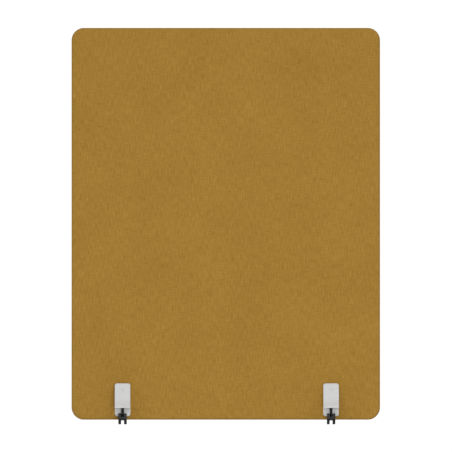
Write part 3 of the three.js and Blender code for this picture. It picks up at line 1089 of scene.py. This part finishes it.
def lower_jaw():
    tip_end = (0.0013 - jaw_reach, rib_tip_bottom - 0.0008)
    tip = bend_between(
        (-jaw_reach, rib_tip_bottom + 0.0015),
        (-jaw_reach, rib_tip_bottom),
        tip_end,
        4,
    )
    belly = bend_between(
        tip_end,
        (rib_belly_front - 0.005, rib_bottom + 0.001),
        (rib_belly_front, rib_bottom),
        10,
    )
    outline = [(rib_back, rib_bottom), (rib_back, rib_top), (-jaw_reach, rib_top), *tip, *belly[1:]]
    piece = trace("left_lower_jaw_casting", outline, 0, clamp_x - rib_outside, clamp_x + rib_outside)
    past = 10 * overcut
    upper = block(
        "upper_channel",
        (clamp_x - rib_inside, -jaw_reach - past, web_top),
        (clamp_x + rib_inside, leg_front, rib_top + past),
    )
    lower = block(
        "lower_channel",
        (clamp_x - rib_inside, -jaw_reach - past, rib_bottom - past),
        (clamp_x + rib_inside, rib_back + past, web_bottom),
    )
    mouth = block(
        "mouth",
        (clamp_x - rib_inside, -jaw_reach - past, rib_bottom - past),
        (clamp_x + rib_inside, web_front, rib_top + past),
    )
    for cutter, level in ((upper, web_top), (lower, web_bottom)):
        on_web = lambda edge: runs_along(edge, 1) and abs(edge.verts[0].co.z - level) < same_place
        round_edges(cutter, on_web, web_fillet, 4)
    carve(piece, upper, lower, mouth)
    leg = block(
        "leg",
        (clamp_x - leg_half_width, leg_front, web_top - 2 * overcut),
        (clamp_x + leg_half_width, leg_back, leg_top),
    )
    carve(piece, leg, operation="UNION")
    merge_doubles(piece)
    ease_arrises(piece, 0.00045)
    carve(
        piece,
        upright_bar("screw_hole", web_bottom - overcut, web_top + overcut, 0.0028),
        upright_bar("counterbore", web_bottom - overcut, counterbore_top, 0.0046),
        upright_bar("clip_relief", web_top, web_top + 2 * overcut, 0.0049),
    )
    return smooth_shade(piece)


black_casting = grained_material(
    "black_casting", (0.007, 0.007, 0.0075), (0.012, 0.012, 0.013), (0.42, 0.58), (1400, 450), 0.00006,
    gloss_level=0.28,
)
both_clamps(lower_jaw(), black_casting, "lower_jaw", "jaw_black", "lower_jaw")


# ------------------------------------------------------------
# Grip strips: black rubber, 5 mm wide and glued along the top of each rib, with cross ribs that bite on
# the desk's underside.
grip_rib_count = 9
grip_groove_depth = 0.0006
black_rubber = grained_material(
    "black_rubber", (0.012, 0.012, 0.012), (0.026, 0.026, 0.026), (0.75, 0.92), (3200, 800), 0.00005,
    gloss_level=0.3,
)
for number in (1, 2):
    strip_low, strip_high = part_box(f"left_grip_strip_{number}")
    name = f"left_grip_strip_{number}_ribbed"
    strip = comb(name, strip_low, strip_high, grip_rib_count, strip_high.z, grip_groove_depth)
    ease_arrises(strip, 0.00012, 2)
    both_clamps(smooth_shade(strip), black_rubber, f"grip_strip_{number}", "grip_rubber", "lower_jaw")


# ------------------------------------------------------------
# Draw screws: M5 socket screws with a low head, 50 mm long and blackened. The head draws the lower jaw up
# as the screw turns into the bush, and a groove above the web takes the clip.
thread_pitch = 0.0008
thread_outer = 0.0025
thread_inner = 0.00202
thread_lead = 1.63
thread_corners = (
    (0, thread_inner), (0.12, thread_inner), (0.46, thread_outer),
    (0.60, thread_outer), (0.94, thread_inner), (1, thread_inner),
)
thread_taper = 0.94
shank_radius = 0.00251
head_radius = 0.00425
screw_low, screw_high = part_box("left_draw_screw")
head_top = -0.0206
socket_across = 0.003
socket_depth = 0.002
groove_low = -0.0174
groove_high = -0.0167
groove_radius = 0.0020


def threaded_rod(name, bottom, top, steps=20):
    """A rod about the Z axis with a real thread: one pitch of its profile, screwed up and cut off square."""
    pitches = math.ceil((top - bottom) / thread_pitch) + 4
    start = bottom - thread_lead * thread_pitch
    profile = [(radius, start + share * thread_pitch) for share, radius in thread_corners]
    piece = profile_line(name, profile)
    choose(piece, "EDGE", lambda edge: edge.calc_length() > 0.9 * thread_pitch)
    bpy.ops.mesh.delete(type="EDGE")
    stop_editing()
    apply_modifier(
        piece, "SCREW", axis="Z", angle=math.tau, screw_offset=thread_pitch, iterations=pitches,
        steps=steps, render_steps=steps, use_merge_vertices=True, merge_threshold=10 * same_place,
    )
    start_editing(piece)
    bpy.ops.mesh.remove_doubles(threshold=5 * same_place)
    slice_across(2, top, clear_outer=True, use_fill=True)
    slice_across(2, bottom, -1, clear_outer=True, use_fill=True)
    face_out()
    for level in (0.75, 0.5, 0.25):
        choose(piece, "VERT", lambda corner: corner.co.z > top - level * thread_pitch)
        bpy.ops.transform.resize(value=(thread_taper, thread_taper, 1), center_override=(0, 0, top))
    stop_editing()
    return piece


def cut_socket(piece, head_face):
    """Sinks the hexagon socket into a head that faces down."""
    corner = socket_across / math.sqrt(3)
    mouth = (0, 0, head_face - overcut)
    carve(piece, bar("socket", mouth, (0, 0, head_face + socket_depth), corner, sides=6))


def draw_screw():
    piece = threaded_rod("left_draw_screw_threaded", groove_high + 0.001, screw_high.z)
    edge = 0.0005
    shank = turned(
        "shank",
        [(0, screw_low.z), (head_radius - edge, screw_low.z),
         (head_radius - 0.3 * edge, screw_low.z + 0.3 * edge), (head_radius, screw_low.z + edge),
         (head_radius, head_top - 0.0002), (head_radius - 0.0002, head_top),
         (shank_radius, head_top), (shank_radius, groove_low), (groove_radius, groove_low),
         (groove_radius, groove_high), (shank_radius, groove_high), (shank_radius, groove_high + 0.0012),
         (0, groove_high + 0.0015)],
    )
    carve(piece, shank, operation="UNION")
    cut_socket(piece, screw_low.z)
    piece.location = (clamp_x, screw_y, 0)
    settle_in_mesh(piece)
    return smooth_shade(piece, 30)


both_clamps(draw_screw(), black_oxide, "draw_screw", "screw_black", "draw_screw")


# ------------------------------------------------------------
# Washers and retaining clips. The zinc-plated washer sits on the screw's head. The open clip, of blackened
# spring steel, snaps into the screw's groove above the web, so that the screw also pushes the jaw down.
washer_low, washer_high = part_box("left_screw_washer")
washer_outer = 0.0044
washer_inner = 0.0027
washer_edge = 0.0001
washer = turned(
    "left_screw_washer_ring",
    [(washer_inner, washer_low.z + washer_edge), (washer_inner + washer_edge, washer_low.z),
     (washer_outer - washer_edge, washer_low.z), (washer_outer, washer_low.z + washer_edge),
     (washer_outer, washer_high.z - washer_edge), (washer_outer - washer_edge, washer_high.z),
     (washer_inner + washer_edge, washer_high.z), (washer_inner, washer_high.z - washer_edge)],
    (clamp_x, screw_y, 0),
)
clip_low, clip_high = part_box("left_retaining_clip")
clip_outer = 0.0045
clip_hollow = 0.0034
clip_prong = 0.00205
clip_mouth = math.radians(32)


def retaining_clip():
    outline = []
    steps = 40
    turn = math.tau - 2 * clip_mouth
    for step in range(steps + 1):
        angle = -math.pi / 2 + clip_mouth + turn * step / steps
        outline.append((clip_outer * math.cos(angle), clip_outer * math.sin(angle)))
    for step in range(steps, -1, -1):
        share = step / steps
        angle = -math.pi / 2 + clip_mouth + turn * share
        on_prong = min(abs(share - spot) for spot in (0.07, 0.5, 0.93)) < 0.075
        radius = clip_prong if on_prong else clip_hollow
        outline.append((radius * math.cos(angle), radius * math.sin(angle)))
    piece = trace("left_retaining_clip_open", outline, 2, clip_low.z, clip_high.z)
    ease_arrises(piece, 0.00008, 2)
    piece.location = (clamp_x, screw_y, 0)
    settle_in_mesh(piece)
    return smooth_shade(piece)


zinc_plate = grained_material(
    "zinc_plate", (0.42, 0.43, 0.45), (0.58, 0.59, 0.60), (0.25, 0.42), (1800, 320), 0.000015, 1.0, 1.2
)
both_clamps(smooth_shade(washer, 35), zinc_plate, "screw_washer", "zinc_steel", "draw_screw")
both_clamps(retaining_clip(), black_oxide, "retaining_clip", "screw_black", "draw_screw")


# ------------------------------------------------------------
# Rear plates: 3 mm steel blanks with the casting's outline, powder-coated white. Their three countersunk
# holes take the fixings, which clamp the board between this plate and the casting.
plate_low, plate_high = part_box("left_rear_plate")
fixing_head_radius = 0.005
fixing_head_depth = 0.0026
head_face = 0.0279


def laid_to_rear(piece, x, z):
    """Lays a piece that was turned upright so that its bottom faces the rear, level with a fixing's head."""
    piece.rotation_euler = (math.radians(90), 0, 0)
    piece.location = (clamp_x + x, head_face, z)
    return settle_in_mesh(piece)


def rear_plate():
    piece = rounded_plate("left_rear_plate_drilled", plate_low, plate_high, casting_corner)
    ease_arrises(piece, 0.0005)
    mouth_radius = fixing_head_radius + 0.0006
    hole_radius = 0.0028
    cone_end = mouth_radius - hole_radius
    for x, z in fixing_spots:
        profile = [(0, -overcut), (mouth_radius + overcut, -overcut), (hole_radius, cone_end)]
        profile += [(hole_radius, 4 * overcut), (0, 4.5 * overcut)]
        carve(piece, laid_to_rear(turned("countersunk_hole", profile, steps=40), x, z))
    return smooth_shade(piece)


both_clamps(rear_plate(), powder_coat, "rear_plate", "clamp_white")


# ------------------------------------------------------------
# Fixing screws: M5 countersunk socket screws, 40 mm long, zinc-plated, through the rear plate and the
# sleeves and into the casting. The sleeves are cut from steel tube and stay as the CAD made them.
fixing_length = 0.040


def fixing_screw(number, x, z):
    """Made upright with its head at the bottom, then laid with the head's face to the rear."""
    name = f"left_fixing_screw_{number}_threaded"
    piece = threaded_rod(name, fixing_head_depth - piece_gap, fixing_length, 16)
    head = turned(
        "head",
        [(0, 0), (fixing_head_radius - 0.0002, 0), (fixing_head_radius, 0.0003),
         (shank_radius, fixing_head_depth), (shank_radius, fixing_head_depth + 0.002),
         (0, fixing_head_depth + 0.0023)],
        steps=40,
    )
    carve(piece, head, operation="UNION")
    cut_socket(piece, 0)
    return smooth_shade(laid_to_rear(piece, x, z), 30)


for number, (x, z) in enumerate(fixing_spots, start=1):
    both_clamps(fixing_screw(number, x, z), zinc_plate, f"fixing_screw_{number}", "zinc_steel")
    for side in ("left", "right"):
        paint(nodes[f"{side}_sleeve_{number}"], zinc_plate)
